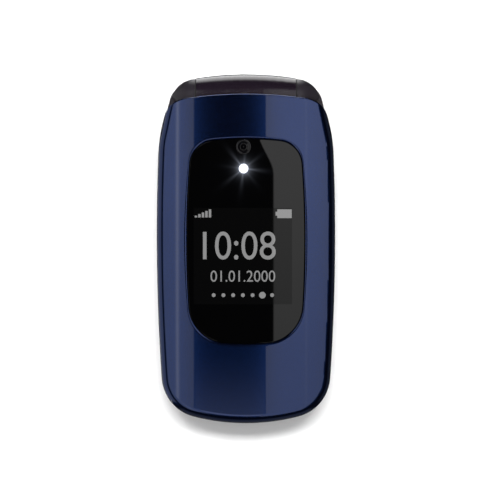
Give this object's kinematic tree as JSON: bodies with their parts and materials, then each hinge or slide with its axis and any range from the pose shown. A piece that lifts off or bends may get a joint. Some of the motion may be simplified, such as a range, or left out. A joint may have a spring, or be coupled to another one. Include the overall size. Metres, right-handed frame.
{
  "type": "flip phone",
  "caption": "Closed flip phone with a crowned blue lid, black window with camera, torch and clock display, barrel hinge, number keys inside and a slide-off battery cover.",
  "frame": {"origin": "middle of the closed phone, on the face that it rests on", "axes": "+Z out of the lid, +Y towards the hinge end, +X to the right seen from above the lid"},
  "size_m": [0.051, 0.0998, 0.0194],
  "materials": {
    "cover_blue": "deep blue metallic lacquer under clear coat",
    "window_black": "back-printed black glass, polished",
    "case_dark": "satin moulded dark plastic",
    "screen_lens": "polished clear window, black printed border",
    "display": "display panel",
    "board": "green solder mask on circuit board",
    "metal": "plain steel",
    "chrome": "bright plated ring",
    "gold": "gold plated contacts",
    "led": "clear lens over a white light",
    "key": "soft-touch moulded keys with pale numerals",
    "key_light": "satin silver-grey moulded keys",
    "key_green": "satin moulded green mark",
    "key_red": "red moulded key",
    "rubber": "soft rubber",
    "film": "amber polyimide film",
    "battery_wrap": "battery wrap",
    "socket": "black moulded socket",
    "camera": "black camera body with glass lens"
  },
  "bodies": {
    "base": {"antenna": "film", "base_screws": "metal", "battery": "battery_wrap", "battery_contacts": "gold", "front_housing": "case_dark", "headset_socket": "socket", "hinge_cam_shaft": "metal", "hinge_flex_cable": "film", "hinge_pin": "metal", "key_dome_sheet": "film", "loudspeaker": "metal", "main_board": "board", "microphone": "metal", "rear_housing": "case_dark", "shield_can": "metal", "sim_holder": "metal", "speaker_mesh": "metal", "usb_socket": "metal", "vibration_motor": "metal"},
    "lid": {"lid_outer_cover": "cover_blue", "lid_window": "window_black", "lid_inner_housing": "case_dark", "main_screen_lens": "screen_lens", "main_display": "display", "lid_board": "board", "outer_display": "display", "camera_ring": "chrome", "camera_module": "camera", "torch_led": "led", "earpiece": "metal", "earpiece_mesh": "metal", "closing_magnet": "metal", "lid_bumpers": "rubber", "lid_screws": "metal", "hinge_can": "metal", "hinge_spring": "metal", "hinge_bush": "metal"},
    "key_0": {"key_0": "key"},
    "key_1": {"key_1": "key"},
    "key_2": {"key_2": "key"},
    "key_3": {"key_3": "key"},
    "key_4": {"key_4": "key"},
    "key_5": {"key_5": "key"},
    "key_6": {"key_6": "key"},
    "key_7": {"key_7": "key"},
    "key_8": {"key_8": "key"},
    "key_9": {"key_9": "key"},
    "key_hash": {"key_hash": "key"},
    "key_star": {"key_star": "key"},
    "soft_key_left": {"soft_key_left": "key_light"},
    "soft_key_right": {"soft_key_right": "key_light"},
    "send_key": {"send_key": "key_green"},
    "end_key": {"end_key": "key_red"},
    "nav_pad": {"nav_pad": "rubber"},
    "nav_ring": {"nav_ring": "key_light"},
    "ok_key": {"ok_key": "key_light"},
    "volume_rocker": {"volume_rocker": "case_dark"},
    "side_key": {"side_key": "case_dark"},
    "help_button": {"help_button": "key_red"},
    "battery_cover": {"battery_cover": "case_dark"}
  },
  "joints": [
    {"name": "lid_hinge", "type": "hinge", "parent": "base", "child": "lid", "pos_m": [0, 0.0437, 0.0106], "axis": [-1, 0, 0], "range_deg": [0, 152], "deforming": ["hinge_flex_cable"]},
    {"name": "key_0_press", "type": "slide", "parent": "base", "child": "key_0", "axis": [0, 0, -1], "range_m": [0, 0.00035], "stiffness_N_per_m": 900},
    {"name": "key_1_press", "type": "slide", "parent": "base", "child": "key_1", "axis": [0, 0, -1], "range_m": [0, 0.00035], "stiffness_N_per_m": 900},
    {"name": "key_2_press", "type": "slide", "parent": "base", "child": "key_2", "axis": [0, 0, -1], "range_m": [0, 0.00035], "stiffness_N_per_m": 900},
    {"name": "key_3_press", "type": "slide", "parent": "base", "child": "key_3", "axis": [0, 0, -1], "range_m": [0, 0.00035], "stiffness_N_per_m": 900},
    {"name": "key_4_press", "type": "slide", "parent": "base", "child": "key_4", "axis": [0, 0, -1], "range_m": [0, 0.00035], "stiffness_N_per_m": 900},
    {"name": "key_5_press", "type": "slide", "parent": "base", "child": "key_5", "axis": [0, 0, -1], "range_m": [0, 0.00035], "stiffness_N_per_m": 900},
    {"name": "key_6_press", "type": "slide", "parent": "base", "child": "key_6", "axis": [0, 0, -1], "range_m": [0, 0.00035], "stiffness_N_per_m": 900},
    {"name": "key_7_press", "type": "slide", "parent": "base", "child": "key_7", "axis": [0, 0, -1], "range_m": [0, 0.00035], "stiffness_N_per_m": 900},
    {"name": "key_8_press", "type": "slide", "parent": "base", "child": "key_8", "axis": [0, 0, -1], "range_m": [0, 0.00035], "stiffness_N_per_m": 900},
    {"name": "key_9_press", "type": "slide", "parent": "base", "child": "key_9", "axis": [0, 0, -1], "range_m": [0, 0.00035], "stiffness_N_per_m": 900},
    {"name": "key_hash_press", "type": "slide", "parent": "base", "child": "key_hash", "axis": [0, 0, -1], "range_m": [0, 0.00035], "stiffness_N_per_m": 900},
    {"name": "key_star_press", "type": "slide", "parent": "base", "child": "key_star", "axis": [0, 0, -1], "range_m": [0, 0.00035], "stiffness_N_per_m": 900},
    {"name": "soft_key_left_press", "type": "slide", "parent": "base", "child": "soft_key_left", "axis": [0, 0, -1], "range_m": [0, 0.00035], "stiffness_N_per_m": 900},
    {"name": "soft_key_right_press", "type": "slide", "parent": "base", "child": "soft_key_right", "axis": [0, 0, -1], "range_m": [0, 0.00035], "stiffness_N_per_m": 900},
    {"name": "send_key_press", "type": "slide", "parent": "base", "child": "send_key", "axis": [0, 0, -1], "range_m": [0, 0.00035], "stiffness_N_per_m": 900},
    {"name": "end_key_press", "type": "slide", "parent": "base", "child": "end_key", "axis": [0, 0, -1], "range_m": [0, 0.00035], "stiffness_N_per_m": 900},
    {"name": "ok_key_press", "type": "slide", "parent": "base", "child": "ok_key", "axis": [0, 0, -1], "range_m": [0, 0.00035], "stiffness_N_per_m": 900},
    {"name": "nav_tilt_along", "type": "hinge", "parent": "base", "child": "nav_pad", "pos_m": [0, 0.017, 0.0079], "axis": [1, 0, 0], "range_deg": [-1.8, 1.8], "stiffness_Nm_per_rad": 0.08},
    {"name": "nav_tilt_across", "type": "hinge", "parent": "nav_pad", "child": "nav_ring", "pos_m": [0, 0.017, 0.0079], "axis": [0, 1, 0], "range_deg": [-1.8, 1.8], "stiffness_Nm_per_rad": 0.08},
    {"name": "volume_tilt", "type": "hinge", "parent": "base", "child": "volume_rocker", "pos_m": [-0.0238, 0.014, 0.006], "axis": [0, 0, 1], "range_deg": [-2, 2], "stiffness_Nm_per_rad": 0.05},
    {"name": "side_key_press", "type": "slide", "parent": "base", "child": "side_key", "axis": [-1, 0, 0], "range_m": [0, 0.0003], "stiffness_N_per_m": 900},
    {"name": "help_button_press", "type": "slide", "parent": "base", "child": "help_button", "axis": [0, 0, 1], "range_m": [0, 0.00035], "stiffness_N_per_m": 900},
    {"name": "battery_cover_slide", "type": "slide", "parent": "base", "child": "battery_cover", "axis": [0, -1, 0], "range_m": [0, 0.009]}
  ]
}
